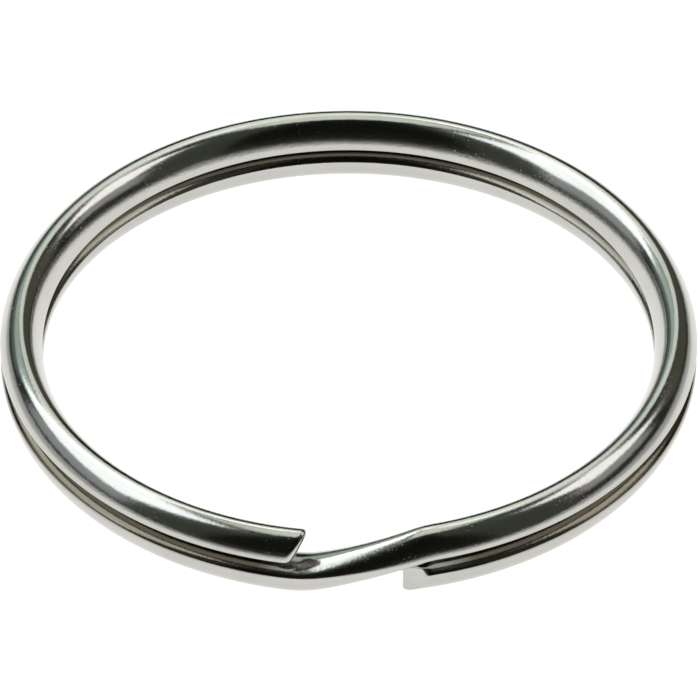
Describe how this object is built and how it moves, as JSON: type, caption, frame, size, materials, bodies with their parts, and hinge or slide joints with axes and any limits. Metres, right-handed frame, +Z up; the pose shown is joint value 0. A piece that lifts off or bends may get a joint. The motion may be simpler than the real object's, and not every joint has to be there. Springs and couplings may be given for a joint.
{
  "type": "split key ring",
  "caption": "Round split ring of flattened spring wire in two stacked turns, with a short crossover between them and two free ends that prise open for a key.",
  "frame": {"origin": "centre of the ring, on the plane that the underside of the lower turn rests on", "axes": "+Z up along the ring's own axis; -Y towards the front, where the wire crosses from one turn to the other; +X to the right as seen from the front"},
  "size_m": [0.032, 0.032, 0.0034],
  "materials": {
    "nickel_plated_wire": "bright nickel plate over spring steel, tumbled to a soft polish"
  },
  "bodies": {
    "lower_leaf": {"lower_turn_right": "nickel_plated_wire", "lower_free_end": "nickel_plated_wire"},
    "core": {"crossover": "nickel_plated_wire", "upper_turn_right": "nickel_plated_wire", "lower_turn_left": "nickel_plated_wire"},
    "upper_leaf": {"upper_turn_left": "nickel_plated_wire", "upper_free_end": "nickel_plated_wire"}
  },
  "joints": [
    {"name": "lower_end_open", "type": "hinge", "parent": "lower_leaf", "child": "core", "pos_m": [0, 0.016, 0.00168], "axis": [-1, 0, 0], "range_deg": [0, 6], "stiffness_Nm_per_rad": 2},
    {"name": "upper_end_lift", "type": "hinge", "parent": "core", "child": "upper_leaf", "pos_m": [0, 0.016, 0.00168], "axis": [-1, 0, 0], "range_deg": [0, 6], "stiffness_Nm_per_rad": 2}
  ]
}
